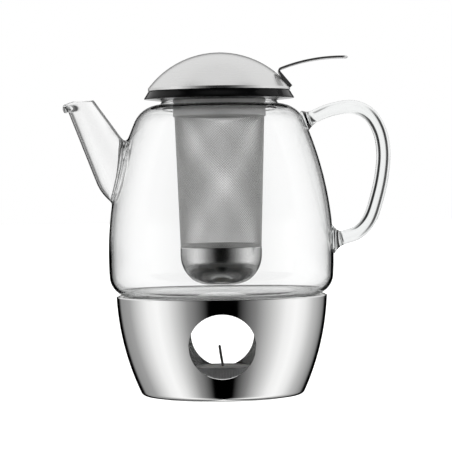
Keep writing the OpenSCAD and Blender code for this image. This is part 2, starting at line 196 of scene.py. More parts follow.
def block(name, low, high):
    """A box, used only as a cutter."""
    plan = [(low[0], low[1]), (high[0], low[1]), (high[0], high[1]), (low[0], high[1])]
    return skin(name, [[(x, y, z) for x, y in plan] for z in (low[2], high[2])])


def combine(piece, other, operation):
    """Boolean of two pieces; the other one is used up."""
    modifier = piece.modifiers.new("combine", "BOOLEAN")
    modifier.operation = operation
    modifier.solver = "MANIFOLD"
    modifier.object = other
    graph = bpy.context.evaluated_depsgraph_get()
    data = bpy.data.meshes.new_from_object(piece.evaluated_get(graph))
    data.name = piece.name
    piece.modifiers.clear()
    piece.data = data
    bpy.data.objects.remove(other)
    return piece


def smooth(piece, angle=35):
    """Smooth shading, with edges kept where the surface turns by more than the angle."""
    piece.data.shade_smooth()
    piece.data.set_sharp_from_angle(angle=math.radians(angle))
    return piece


def finished(piece, body, slot, material, *nodes):
    """Gives a piece its material and its body, and hides the CAD nodes it stands for."""
    piece.data.materials.clear()
    piece.data.materials.append(material)
    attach(piece, body)
    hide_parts(*nodes)
    return piece


# ---------- materials ----------

def new_material(name):
    """A material with its node tree and its main shader."""
    material = bpy.data.materials.new(name)
    material.use_nodes = True
    return material, material.node_tree, material.node_tree.nodes["Principled BSDF"]


def add(tree, kind, **inputs):
    """A node of that kind, with values or links on its named inputs."""
    node = tree.nodes.new(kind)
    for key, value in inputs.items():
        socket = node.inputs[key.replace("_", " ")]
        if isinstance(value, bpy.types.NodeSocket):
            tree.links.new(value, socket)
        else:
            socket.default_value = value
    return node


def mapped_noise(tree, stretch, scale, detail=3.0):
    """Noise in object coordinates, stretched along each axis."""
    place = add(tree, "ShaderNodeTexCoord")
    mapping = add(tree, "ShaderNodeMapping", Vector=place.outputs["Object"], Scale=stretch)
    return add(tree, "ShaderNodeTexNoise", Vector=mapping.outputs["Vector"], Scale=scale, Detail=detail)


def between(tree, value, low, high):
    """Maps a 0 to 1 value to low to high."""
    node = add(tree, "ShaderNodeMapRange", Value=value)
    node.inputs["To Min"].default_value = low
    node.inputs["To Max"].default_value = high
    return node.outputs["Result"]


def bump(tree, shader, height, distance, strength=1.0):
    """Bump of a height in 0 to 1, with a distance in metres."""
    node = add(tree, "ShaderNodeBump", Strength=strength, Distance=distance, Height=height)
    tree.links.new(node.outputs["Normal"], shader.inputs["Normal"])


def polished_steel(name="polished_steel", roughness=(0.05, 0.16), tone=0.86):
    """Mirror-polished stainless steel with a trace of turned lines."""
    material, tree, shader = new_material(name)
    shader.inputs["Base Color"].default_value = (tone, tone, tone * 0.995, 1)
    shader.inputs["Metallic"].default_value = 1
    turned = mapped_noise(tree, (0.4, 0.4, 60), 60)
    haze = mapped_noise(tree, (1, 1, 1), 45, 5)
    both = add(tree, "ShaderNodeMath")
    both.operation = "MULTIPLY"
    tree.links.new(turned.outputs["Fac"], both.inputs[0])
    tree.links.new(haze.outputs["Fac"], both.inputs[1])
    tree.links.new(between(tree, both.outputs["Value"], *roughness), shader.inputs["Roughness"])
    bump(tree, shader, turned.outputs["Fac"], 0.000002)
    return material


def satin_steel(name="satin_steel", roughness=(0.24, 0.36), tone=0.74, metallic=1.0):
    """Satin stainless steel, brushed in circles about Z."""
    material, tree, shader = new_material(name)
    shader.inputs["Base Color"].default_value = (tone, tone, tone * 0.995, 1)
    shader.inputs["Metallic"].default_value = metallic
    place = add(tree, "ShaderNodeTexCoord")
    split = add(tree, "ShaderNodeSeparateXYZ", Vector=place.outputs["Object"])
    flat = add(tree, "ShaderNodeCombineXYZ", X=split.outputs["X"], Y=split.outputs["Y"])
    radius = add(tree, "ShaderNodeVectorMath", Vector=flat.outputs["Vector"])
    radius.operation = "LENGTH"
    rings = add(tree, "ShaderNodeCombineXYZ", X=radius.outputs["Value"], Y=split.outputs["Z"])
    grain = add(tree, "ShaderNodeTexNoise", Vector=rings.outputs["Vector"], Scale=5200, Detail=4)
    wear = mapped_noise(tree, (1, 1, 1), 60, 4)
    mixed = add(tree, "ShaderNodeMath")
    mixed.operation = "MULTIPLY_ADD"
    tree.links.new(grain.outputs["Fac"], mixed.inputs[0])
    mixed.inputs[1].default_value = 0.5
    tree.links.new(between(tree, wear.outputs["Fac"], 0.1, 0.5), mixed.inputs[2])
    tree.links.new(between(tree, mixed.outputs["Value"], *roughness), shader.inputs["Roughness"])
    bump(tree, shader, grain.outputs["Fac"], 0.000004, 0.6)
    return material


def clear_glass():
    """Clear borosilicate glass: darker where the view runs along its wall."""
    material, tree, shader = new_material("clear_glass")
    shader.inputs["Base Color"].default_value = (1, 1, 1, 1)
    shader.inputs["Roughness"].default_value = 0
    shader.inputs["IOR"].default_value = 1.47
    shader.inputs["Transmission Weight"].default_value = 1
    swirl = mapped_noise(tree, (1, 1, 2.5), 22, 1)
    bump(tree, shader, swirl.outputs["Fac"], 0.00004, 0.5)
    absorb = add(tree, "ShaderNodeVolumeAbsorption")
    absorb.inputs["Color"].default_value = (0.55, 0.62, 0.6, 1)
    absorb.inputs["Density"].default_value = 18
    tree.links.new(absorb.outputs["Volume"], tree.nodes["Material Output"].inputs["Volume"])
    return material


def black_plastic():
    """Glossy black heat-proof plastic with a very faint moulded waviness."""
    material, tree, shader = new_material("black_plastic")
    shader.inputs["Base Color"].default_value = (0.002, 0.002, 0.0022, 1)
    shader.inputs["Specular IOR Level"].default_value = 0.12
    wave = mapped_noise(tree, (1, 1, 1), 160, 3)
    tree.links.new(between(tree, wave.outputs["Fac"], 0.1, 0.2), shader.inputs["Roughness"])
    bump(tree, shader, wave.outputs["Fac"], 0.00001, 0.4)
    return material


def silicone(name, tone):
    """Matt black silicone with a fine grain."""
    material, tree, shader = new_material(name)
    shader.inputs["Base Color"].default_value = (tone, tone, tone, 1)
    grain = mapped_noise(tree, (1, 1, 1), 1800, 3)
    tree.links.new(between(tree, grain.outputs["Fac"], 0.45, 0.6), shader.inputs["Roughness"])
    bump(tree, shader, grain.outputs["Fac"], 0.00002, 0.5)
    return material


def wire_steel():
    """Bright stainless wire, a little dulled by weaving."""
    material, tree, shader = new_material("wire_steel")
    shader.inputs["Base Color"].default_value = (0.8, 0.8, 0.79, 1)
    shader.inputs["Metallic"].default_value = 0.25
    dull = mapped_noise(tree, (1, 1, 1), 300, 3)
    tree.links.new(between(tree, dull.outputs["Fac"], 0.3, 0.45), shader.inputs["Roughness"])
    bump(tree, shader, dull.outputs["Fac"], 0.000008, 0.5)
    return material


def tealight_foil():
    """Thin drawn aluminium with upright drawing marks."""
    material, tree, shader = new_material("tealight_foil")
    shader.inputs["Base Color"].default_value = (0.3, 0.3, 0.305, 1)
    shader.inputs["Metallic"].default_value = 1
    drawn = mapped_noise(tree, (40, 40, 1), 60, 4)
    tree.links.new(between(tree, drawn.outputs["Fac"], 0.28, 0.5), shader.inputs["Roughness"])
    bump(tree, shader, drawn.outputs["Fac"], 0.00002, 0.5)
    return material


def candle_wax():
    """Paraffin wax, translucent and slightly mottled."""
    material, tree, shader = new_material("candle_wax")
    mottle = mapped_noise(tree, (1, 1, 1), 260, 5)
    ramp = add(tree, "ShaderNodeValToRGB", Fac=mottle.outputs["Fac"])
    ramp.color_ramp.elements[0].color = (0.68, 0.67, 0.64, 1)
    ramp.color_ramp.elements[0].position = 0.3
    ramp.color_ramp.elements[1].color = (0.86, 0.855, 0.83, 1)
    ramp.color_ramp.elements[1].position = 0.7
    tree.links.new(ramp.outputs["Color"], shader.inputs["Base Color"])
    shader.inputs["Subsurface Weight"].default_value = 0.3
    shader.inputs["Subsurface Scale"].default_value = 0.002
    shader.inputs["Subsurface Radius"].default_value = (1, 0.9, 0.7)
    tree.links.new(between(tree, mottle.outputs["Fac"], 0.35, 0.55), shader.inputs["Roughness"])
    bump(tree, shader, mottle.outputs["Fac"], 0.00012, 0.5)
    return material


def wick_cotton():
    """Waxed cotton, greyed towards its burnt end."""
    material, tree, shader = new_material("wick_cotton")
    place = add(tree, "ShaderNodeTexCoord")
    split = add(tree, "ShaderNodeSeparateXYZ", Vector=place.outputs["Object"])
    height = add(tree, "ShaderNodeMapRange", Value=split.outputs["Z"])
    height.inputs["From Min"].default_value = wax_high[2] * MM
    height.inputs["From Max"].default_value = wick_high[2] * MM
    fibre = mapped_noise(tree, (1, 1, 0.3), 2400, 4)
    mixed = add(tree, "ShaderNodeMath")
    mixed.operation = "MULTIPLY_ADD"
    tree.links.new(fibre.outputs["Fac"], mixed.inputs[0])
    mixed.inputs[1].default_value = 0.5
    tree.links.new(height.outputs["Result"], mixed.inputs[2])
    ramp = add(tree, "ShaderNodeValToRGB", Fac=mixed.outputs["Value"])
    ramp.color_ramp.elements[0].color = (0.2, 0.19, 0.18, 1)
    ramp.color_ramp.elements[1].color = (0.07, 0.066, 0.062, 1)
    tree.links.new(ramp.outputs["Color"], shader.inputs["Base Color"])
    shader.inputs["Roughness"].default_value = 0.8
    bump(tree, shader, fibre.outputs["Fac"], 0.00015, 0.8)
    return material


# ---------- warmer ----------

STAND_WALL = 1.2
STAND_CORNER_RISE = 2.4
STAND_SIDE = Side(60.5, 64.6, 147.7)
WINDOW_R = 18.7
WINDOW_Z = 31.2


def make_stand_bowl():
    floor_z = stand_low[2] + STAND_WALL
    corner_z = stand_low[2] + STAND_CORNER_RISE
    corner = np.array([STAND_SIDE.at(corner_z), corner_z])
    normal = STAND_SIDE.normal(corner_z)
    bend = (corner_z - stand_low[2]) / (1 + normal[1])
    centre = corner - bend * normal
    rim_z = stand_high[2] - STAND_WALL / 2
    rim_out = (STAND_SIDE.at(stand_high[2]), rim_z)
    rim_in = (rim_out[0] - STAND_WALL, rim_z)
    inner = corner - STAND_WALL * normal
    profile = line((0, stand_low[2]), (centre[0], stand_low[2]), 12)
    profile += arc((centre[0], stand_low[2]), corner, bend, 12)
    profile += arc(corner, rim_out, STAND_SIDE.reach, 60)
    profile += arc(rim_out, rim_in, STAND_WALL / 2 + 0.001, 10)
    profile += arc(rim_in, inner, -(STAND_SIDE.reach - STAND_WALL), 60)
    profile += arc(inner, (centre[0], floor_z), -(bend - STAND_WALL), 8)
    profile += line((centre[0], floor_z), (0, floor_z), 12)
    bowl = lathe("stand_bowl", profile, 256)
    normal = STAND_SIDE.normal(WINDOW_Z)
    for side in (-1, 1):
        middle = np.array([0, side * STAND_SIDE.at(WINDOW_Z), WINDOW_Z])
        reach = 20 * np.array([0, side * normal[0], normal[1]])
        cutter = rod("window_cutter", middle - reach, middle + reach, WINDOW_R, 192)
        combine(bowl, cutter, "DIFFERENCE")
    return smooth(bowl)


def make_rest_ring():
    inner = 45
    skirt_r = 58
    thick = 1
    edge = 0.4
    vents = 24
    vent_r = 1.8
    top = rest_high[2]
    outer = rest_high[0]
    profile = [(inner, top - thick), (skirt_r - thick, top - thick), (skirt_r - thick, rest_low[2])]
    profile += [(skirt_r, rest_low[2]), (skirt_r, top - thick), (outer, top - thick), (outer, top)]
    profile += [(inner + edge, top), (inner, top - edge)]
    ring = lathe("rest_ring", profile)
    vent_at = (FOOT_R + outer) / 2
    for i in range(vents):
        angle = math.tau * (i + 0.5) / vents
        x = vent_at * math.cos(angle)
        y = vent_at * math.sin(angle)
        vent = rod("vent_cutter", (x, y, top - 3), (x, y, top + 3), vent_r, 32)
        combine(ring, vent, "DIFFERENCE")
    return smooth(ring)


def make_locator():
    floor_z = locator_low[2]
    rim_r = locator_high[0]
    thick = 0.6
    profile = [(8, floor_z), (rim_r - 0.4, floor_z)]
    profile += arc((rim_r - 0.4, floor_z), (rim_r, floor_z + 0.4), 0.4, 4)
    profile += arc((rim_r, locator_high[2] - 0.3), (rim_r - thick, locator_high[2] - 0.3), 0.301, 6)
    profile += [(rim_r - thick, floor_z + thick), (8.3, floor_z + thick), (8, floor_z + 0.3)]
    return smooth(lathe("tealight_tray", profile))


def make_foot_pad():
    inner = 34
    outer = 40
    edge = 0.3
    profile = arc((inner, edge), (inner + edge, 0), edge, 4)
    profile += arc((outer - edge, 0), (outer, edge), edge, 4)
    profile += [(outer, foot_high[2]), (inner, foot_high[2])]
    return smooth(lathe("foot_pad", profile))


# ---------- tealight ----------

def make_candle_cup():
    radius = candle_high[0] - 0.06
    low = candle_low[2]
    top = candle_high[2]
    wall = 0.3
    profile = line((0, low), (radius - 1, low), 6)
    profile += arc((radius - 1, low), (radius, low + 1), 1, 6)
    profile += line((radius, low + 1), (radius, top - 0.7), 12)
    profile += arc((radius, top - 0.7), (radius - wall - 0.1, top - 0.25), 0.42, 8)
    profile += line((radius - wall, top - 0.9), (radius - wall, low + 0.4), 12)
    profile += [(0, low + 0.4)]

    def fluted(angles, r, z):
        share = min(1.0, max(0.0, (z - low - 2) / 4)) * min(1.0, max(0.0, (top - 1 - z) / 2))
        return r + (0.05 * share * np.cos(72 * angles) if r > radius / 2 else 0 * angles)

    return smooth(lathe("candle_cup", profile, 576, fluted), 50)


def make_wax():
    edge = wax_high[0] - 0.02
    level = wax_high[2] - 0.5
    radius = math.hypot(1.6, 0.5) * 1.1
    profile = arc((edge, level + 0.48), (edge - 1.6, level), -radius, 6)
    profile += line((edge - 1.6, level), (2.4, level), 24)
    profile += arc((2.4, level), (0.9, level + 0.5), -2.2, 5)
    profile += [(0, level + 0.5), (0, wax_low[2] + 0.6), (edge, wax_low[2] + 0.6)]
    wax = lathe("candle_wax", profile, 144)
    for vertex in wax.data.vertices:
        x, y, z = vertex.co / MM
        r = math.hypot(x, y)
        if z > level - 1 and r < edge - 0.5:
            turn = math.atan2(y, x)
            vertex.co.z += MM * (0.12 * math.sin(2 * turn + 0.6) * math.sin(math.pi * r / edge)
                                 + 0.05 * math.sin(5 * turn + 0.4 * r))
    return smooth(wax, 50)


def make_wick():
    radius = 0.78
    foot = wax_low[2] + 1
    knee = wax_high[2] + 0.2
    tip = np.array([wick_low[0] + radius * 0.95, 0, wick_high[2] - 0.1])
    path = spline([(0, foot - 2), (0, foot), (0, (foot + knee) / 2), (0, knee),
                   (tip[0] * 0.52, (knee + tip[2]) / 2), (tip[0], tip[2]), (tip[0] * 1.5, tip[2] + 5)], 14)
    sides = 36
    rings = []
    for i, (x, z) in enumerate(path):
        ahead = path[min(i + 1, len(path) - 1)] - path[max(i - 1, 0)]
        ahead /= np.hypot(*ahead)
        end = min(1.0, (len(path) - 1 - i) / 3)
        taper = math.sqrt(max(0.02, 1 - (1 - end) ** 2))
        ring = []
        for k in range(sides):
            angle = 2 * math.pi * k / sides
            strand = 0.86 + 0.14 * abs(math.sin(1.5 * angle + 2.6 * z))
            wide = radius * strand * taper
            ring.append((x + ahead[1] * wide * math.cos(angle), wide * math.sin(angle),
                         z - ahead[0] * wide * math.cos(angle)))
        rings.append(ring)
    return smooth(skin("wick", rings), 60)


# ---------- glass pot ----------

GLASS_T = 1.5
NECK_R = 33
NECK_FILLET = 2.2
FOOT_R = 52.2
CORNER_REACH = 12.4
CORNER_Z = 69
SHOULDER_REACH = 17.2
SHOULDER_Z = 157
POT_SIDE = Side(pot_high[0], 81, 193.5)
POT_FLOOR_Z = pot_low[2] + 4.2

SPOUT_APEX = np.array([-109, 0, 222.5])
SPOUT_LEAN = math.radians(28.23)
SPOUT_TAPER = math.radians(7.27)
SPOUT_T = 0.9
HEEL_AT = 105.5
HEEL_REACH = 26
MOUTH_Z = 169.8
MOUTH_LEAN = math.radians(4.4)
SPOUT_BLEND = (1.6, 4.2)
SPOUT_BLEND_IN = (1.2, 2.6)
HEEL_TOP_Z = 118
CROOK_Z = 142
JOINT_Z = (95, 156)
JOINT_X = -20

corner_point = np.array([POT_SIDE.at(CORNER_Z), CORNER_Z])
corner_normal = POT_SIDE.normal(CORNER_Z)
corner_centre = corner_point - CORNER_REACH * corner_normal
shoulder_point = np.array([POT_SIDE.at(SHOULDER_Z), SHOULDER_Z])
shoulder_normal = POT_SIDE.normal(SHOULDER_Z)
shoulder_centre = shoulder_point - SHOULDER_REACH * shoulder_normal
fillet_x = NECK_R + NECK_FILLET
fillet_rise = math.sqrt((SHOULDER_REACH + NECK_FILLET) ** 2 - (fillet_x - shoulder_centre[0]) ** 2)
fillet_centre = np.array([fillet_x, shoulder_centre[1] + fillet_rise])
fillet_normal = (fillet_centre - shoulder_centre) / (SHOULDER_REACH + NECK_FILLET)


def pot_outline(inset):
    """The pot from its bottom corner to the foot of its neck, inset inside the outer surface."""
    start_r = FOOT_R + 1.6
    drop = math.sqrt((CORNER_REACH - inset) ** 2 - (start_r - corner_centre[0]) ** 2)
    joint = shoulder_centre + (SHOULDER_REACH - inset) * fillet_normal
    outline = arc((start_r, corner_centre[1] - drop), corner_point - inset * corner_normal,
                  CORNER_REACH - inset, 14)
    outline += arc(corner_point - inset * corner_normal, shoulder_point - inset * shoulder_normal,
                   POT_SIDE.reach - inset, 64)
    outline += arc(shoulder_point - inset * shoulder_normal, joint, SHOULDER_REACH - inset, 16)
    outline += arc(joint, (NECK_R - inset, fillet_centre[1]), -(NECK_FILLET + inset), 8)
    return outline


def make_pot_outside():
    """The pot as if it were solid."""
    foot_z = pot_low[2]
    top = pot_high[2]
    rim = GLASS_T / 2
    profile = line((0, foot_z + 2.2), (46, foot_z + 2.2), 10)
    profile += arc((46, foot_z + 2.2), (48.4, foot_z), -3, 6)
    profile += arc((FOOT_R - 1.2, foot_z), (FOOT_R, foot_z + 1.2), 1.2, 6)
    profile += arc((FOOT_R, foot_z + 1.6), pot_outline(0)[0], -1.6, 5)
    profile += pot_outline(0)
    profile += arc((NECK_R, top - rim), (NECK_R - rim, top), rim, 6)
    profile += [(0, top)]
    return lathe("pot_glass", profile)


def make_pot_inside():
    """The hollow of the pot, running out through its neck."""
    top = pot_high[2]
    rim = GLASS_T / 2
    inner = NECK_R - GLASS_T
    profile = line((0, POT_FLOOR_Z), (corner_centre[0], POT_FLOOR_Z), 10)
    profile += pot_outline(GLASS_T)
    profile += [(inner, top - rim)]
    profile += arc((inner, top - rim), (inner + rim - 0.02, top + 0.001), -rim, 6)
    profile += [(inner + rim - 0.02, top + 4), (0, top + 4)]
    return lathe("pot_hollow", profile)


SPOUT_AXIS = np.array([math.sin(SPOUT_LEAN), 0, -math.cos(SPOUT_LEAN)])
SPOUT_SIDE = np.array([math.cos(SPOUT_LEAN), 0, math.sin(SPOUT_LEAN)])
SLANT_OUT = np.array([math.cos(SPOUT_TAPER), -math.sin(SPOUT_TAPER)])
HEEL_CENTRE = HEEL_AT * np.array([math.tan(SPOUT_TAPER), 1]) - HEEL_REACH * SLANT_OUT
MOUTH_NORMAL = np.array([math.sin(-MOUTH_LEAN), 0, math.cos(MOUTH_LEAN)])
mouth_x = SPOUT_APEX[0] + (SPOUT_APEX[2] - MOUTH_Z) * math.tan(SPOUT_LEAN)
MOUTH_CENTRE = np.array([mouth_x, 0, MOUTH_Z])
LIP_REACH = 2.7
LIP_REACH_IN = 2.0
LIP_HALF = 2.8
LIP_DROOP = 0.5


def spout_rings(inset, overshoot):
    """Rings of the spout from its heel inside the pot to its mouth, with half of the rounded rim."""
    sides = 96
    rim = SPOUT_T / 2
    angles = np.arange(sides) * 2 * math.pi / sides
    outward = np.outer(np.cos(angles), SPOUT_SIDE) + np.outer(np.sin(angles), [0, 1, 0])
    reach = HEEL_REACH - inset
    tip = math.acos(-HEEL_CENTRE[0] / reach)
    rings = []
    for turn in np.linspace(tip, -SPOUT_TAPER, 24)[:-1]:
        across = HEEL_CENTRE[0] + reach * math.cos(turn)
        along = HEEL_CENTRE[1] + reach * math.sin(turn)
        rings.append(SPOUT_APEX + along * SPOUT_AXIS + across * outward)
    apex = SPOUT_APEX + inset / math.sin(SPOUT_TAPER) * SPOUT_AXIS
    slope = math.cos(SPOUT_TAPER) * SPOUT_AXIS + math.sin(SPOUT_TAPER) * outward
    start = HEEL_AT / math.cos(SPOUT_TAPER) - inset / math.tan(SPOUT_TAPER)
    mouth = ((MOUTH_CENTRE - apex) @ MOUTH_NORMAL) / (slope @ MOUTH_NORMAL)
    pour = np.clip(-outward[:, 0] / SPOUT_SIDE[0], 0, 1) ** 2

    def ring(distance, shift):
        below = distance - mouth
        if inset == 0:
            flare = LIP_REACH * pour * np.sqrt(np.clip(1 - (below / LIP_HALF - 0.9) ** 2, 0, 1))
        else:
            flare = LIP_REACH_IN * pour * np.exp(-(below / LIP_HALF) ** 2)
        droop = np.outer(LIP_DROOP * flare, SPOUT_AXIS)
        return apex + slope * distance[:, None] + outward * (flare + shift)[:, None] + droop

    for share in np.linspace(1, 0, 48):
        rings.append(ring(mouth + rim + share**1.9 * (start - mouth - rim), 0))
    inward = -1 if inset == 0 else 1
    for step in np.linspace(0, math.pi / 2, 7)[1:]:
        rings.append(ring(mouth + rim * (1 - math.sin(step)), inward * (rim - 0.01) * (1 - math.cos(step))))
    if overshoot:
        rings.append(rings[-1] + overshoot * MOUTH_NORMAL)
    return rings


HANDLE_LINE = [
    (37, 152), (44, 155.3), (51, 158), (55, 159.8), (64, 163.2), (76, 164.7), (85.6, 160.5), (91.5, 151.1),
    (93.7, 139), (92.6, 125.5), (89.5, 112), (85.3, 100.3), (79, 93.2), (71.5, 90.3), (66, 89.3), (59, 89),
    (52, 89)
]
HANDLE_T = 8
HANDLE_W = 11
HANDLE_SLIM = 0.86
HANDLE_FULL_FROM = 0.35
HANDLE_FLAT = 0.55
TOP_JOINT = np.array([49, 157.3])
LOW_JOINT = np.array([64.2, 89.2])
TOP_FLARE = 2.6
LOW_FLARE = 4.6
FLARE_L = 6.2


def signed_power(value, power):
    """The power of a value's size, with the value's sign."""
    return math.copysign(abs(value) ** power, value)


def make_handle():
    """The handle as a bent oval bar, flatter towards the pot and swollen where it meets it."""
    path = spline(HANDLE_LINE, 12)
    last = len(path) - 1
    sides = 40
    rings = []
    for i, point in enumerate(path):
        ahead = path[min(i + 1, last)] - path[max(i - 1, 0)]
        ahead /= np.hypot(*ahead)
        slim = HANDLE_SLIM + (1 - HANDLE_SLIM) * min(1, i / last / HANDLE_FULL_FROM)
        flare = TOP_FLARE * max(0, 1 - math.dist(point, TOP_JOINT) / FLARE_L) ** 2
        flare += LOW_FLARE * max(0, 1 - math.dist(point, LOW_JOINT) / FLARE_L) ** 2
        ring = []
        for k in range(sides):
            angle = 2 * math.pi * k / sides
            power = 1 if math.cos(angle) > 0 else HANDLE_FLAT
            deep = (slim * HANDLE_T / 2 + flare) * signed_power(math.cos(angle), power)
            wide = (slim * HANDLE_W / 2 + flare) * signed_power(math.sin(angle), power)
            ring.append((point[0] - ahead[1] * deep, wide, point[1] + ahead[0] * deep))
        rings.append(ring)
    return skin("handle_solid", rings)


def side_distance(points, inset):
    """Signed distance of points from the pot's side."""
    r = np.hypot(points[:, 0], points[:, 1])
    return np.hypot(r - POT_SIDE.centre[0], points[:, 2] - POT_SIDE.centre[1]) - POT_SIDE.reach + inset


def spout_distance(points, inset):
    """Signed distance of points from the spout's cone and heel."""
    from_apex = points - SPOUT_APEX
    along = from_apex @ SPOUT_AXIS
    across = np.linalg.norm(from_apex - np.outer(along, SPOUT_AXIS), axis=1)
    from_heel = np.stack([across, along], 1) - HEEL_CENTRE
    beyond = from_heel @ np.array([-SLANT_OUT[1], SLANT_OUT[0]])
    straight = from_heel @ SLANT_OUT
    return np.where(beyond > 0, np.linalg.norm(from_heel, axis=1), straight) - HEEL_REACH + inset


def fillet_width(points, widths):
    """The fillet's width: the first one at the heel, growing to the second one in the crook."""
    rise = np.clip((points[:, 2] - HEEL_TOP_Z) / (CROOK_Z - HEEL_TOP_Z), 0, 1)
    return widths[0] + (widths[1] - widths[0]) * rise * rise


def blended(points, side_inset, spout_inset, width):
    """Signed distance of the side and the spout, joined by a fillet of that width."""
    side = side_distance(points, side_inset)
    spout = spout_distance(points, spout_inset)
    share = np.clip(width - np.abs(side - spout), 0, None) / width
    return np.minimum(side, spout) - share * share * width / 4


def fillet_spout(pot):
    """Moves the vertices beside the spout's joint onto a smooth fillet, outside and inside."""
    data = pot.data
    points = np.zeros(len(data.vertices) * 3)
    data.vertices.foreach_get("co", points)
    points = points.reshape(-1, 3) / MM
    near = (points[:, 0] < JOINT_X) & (points[:, 2] > JOINT_Z[0]) & (points[:, 2] < JOINT_Z[1])
    for side_inset, spout_inset, widths in ((0, 0, SPOUT_BLEND), (GLASS_T, SPOUT_T, SPOUT_BLEND_IN)):
        side = side_distance(points, side_inset)
        spout = spout_distance(points, spout_inset)
        width = fillet_width(points, widths)
        chosen = near & (np.abs(np.minimum(side, spout)) < 0.12) & (np.abs(side - spout) < width)
        moved = points[chosen]
        width = width[chosen]
        for _ in range(6):
            value = blended(moved, side_inset, spout_inset, width)
            slope = np.zeros_like(moved)
            for axis in range(3):
                step = np.zeros(3)
                step[axis] = 0.02
                slope[:, axis] = (blended(moved + step, side_inset, spout_inset, width)
                                  - blended(moved - step, side_inset, spout_inset, width)) / 0.04
            moved -= (value / (slope**2).sum(1))[:, None] * slope
        points[chosen] = moved
    data.vertices.foreach_set("co", (points * MM).ravel())
    data.update()


def make_pot():
    pot = make_pot_outside()
    combine(pot, skin("spout_solid", spout_rings(0, 0)), "UNION")
    combine(pot, make_handle(), "UNION")
    hollow = make_pot_inside()
    combine(hollow, skin("spout_hollow", spout_rings(SPOUT_T, 6)), "UNION")
    combine(pot, hollow, "DIFFERENCE")
    fillet_spout(pot)
    return smooth(pot, 60)


# ---------- infuser and lid ring ----------

HINGE_X = (pin_low[0] + pin_high[0]) / 2
HINGE_Z = (pin_low[2] + pin_high[2]) / 2
RING_KNUCKLE_R = 1.85
CUT_TOP_Z = 190


def hinge_cutter(radius, width):
    return rod("hinge_cutter", (HINGE_X, -width / 2, HINGE_Z), (HINGE_X, width / 2, HINGE_Z), radius)


def make_lid_ring():
    top = ring_high[2]
    tip_r = ring_high[0]
    tip_z = 170.6
    ledge_z = 172.6
    inner = collar_high[0] + 0.2
    collar_r = 26.7
    spigot_r = NECK_R - GLASS_T - 0.7
    room_r = NECK_R + 0.6
    seat_z = pot_high[2] + 0.1
    profile = line((inner, top), (40.5, top), 4)
    profile += arc((40.5, top), (40.85, top - 0.25), -0.4, 4)
    profile += line((40.95, top - 0.5), (tip_r - 0.08, tip_z + 0.25), 4)
    profile += arc((tip_r - 0.08, tip_z + 0.25), (tip_r - 0.45, tip_z - 0.32), -0.38, 5)
    profile += line((tip_r - 0.6, tip_z - 0.36), (room_r + 0.7, ring_low[2] + 0.06), 10)
    profile += arc((room_r + 0.5, ring_low[2] + 0.05), (room_r, ring_low[2] + 0.5), -0.5, 4)
    profile += [(room_r, seat_z), (spigot_r, seat_z), (spigot_r, ring_low[2] + 0.5)]
    profile += arc((spigot_r, ring_low[2] + 0.7), (spigot_r - 0.4, ring_low[2] + 0.3), -0.4, 4)
    profile += [(collar_r, ring_low[2] + 0.3), (collar_r, ledge_z), (inner, ledge_z)]
    ring = lathe("lid_ring_gloss", profile, 256)
    combine(ring, hinge_cutter(RING_KNUCKLE_R + 0.2, 9.2), "DIFFERENCE")
    pocket = block("pocket_cutter", (HINGE_X - RING_KNUCKLE_R - 0.2, -4.6, HINGE_Z),
                   (HINGE_X + 9, 4.6, CUT_TOP_Z))
    combine(ring, pocket, "DIFFERENCE")
    relief = block("relief_cutter", (HINGE_X, -9.5, HINGE_Z), (HINGE_X + 9, 9.5, CUT_TOP_Z))
    combine(relief, hinge_cutter(RING_KNUCKLE_R, 30), "DIFFERENCE")
    combine(ring, relief, "DIFFERENCE")
    combine(ring, hinge_cutter(0.7, 15), "DIFFERENCE")
    return smooth(ring)


def make_gasket():
    inner = gasket_high[0] - 0.5
    low = gasket_low[2]
    profile = [(inner, low)]
    for lip in range(2):
        base = low + 0.8 * lip
        profile += arc((inner + 0.1, base + 0.05), (inner + 0.1, base + 0.75), 0.36, 8)
    profile += [(inner, gasket_high[2])]
    return smooth(lathe("seal_ribs", profile), 60)


def make_collar():
    outer = 26.6
    inner = outer - 0.5
    flange_r = collar_high[0]
    flange_z = 172.6
    low = collar_low[2]
    top = collar_high[2]
    profile = arc((inner, low + 0.25), (outer, low + 0.25), 0.251, 6)
    profile += line((outer, low + 0.3), (outer, flange_z), 8)
    profile += line((outer, flange_z), (flange_r - 0.3, flange_z), 4)
    profile += arc((flange_r - 0.3, flange_z), (flange_r - 0.3, top), 0.401, 6)
    profile += arc((inner + 1.2, top), (inner, top - 1.2), 1.2, 6)
    profile += line((inner, top - 1.2), (inner, low + 0.3), 8)
    return smooth(lathe("infuser_collar", profile))


WIRE_R = 0.17
WIRES = 104


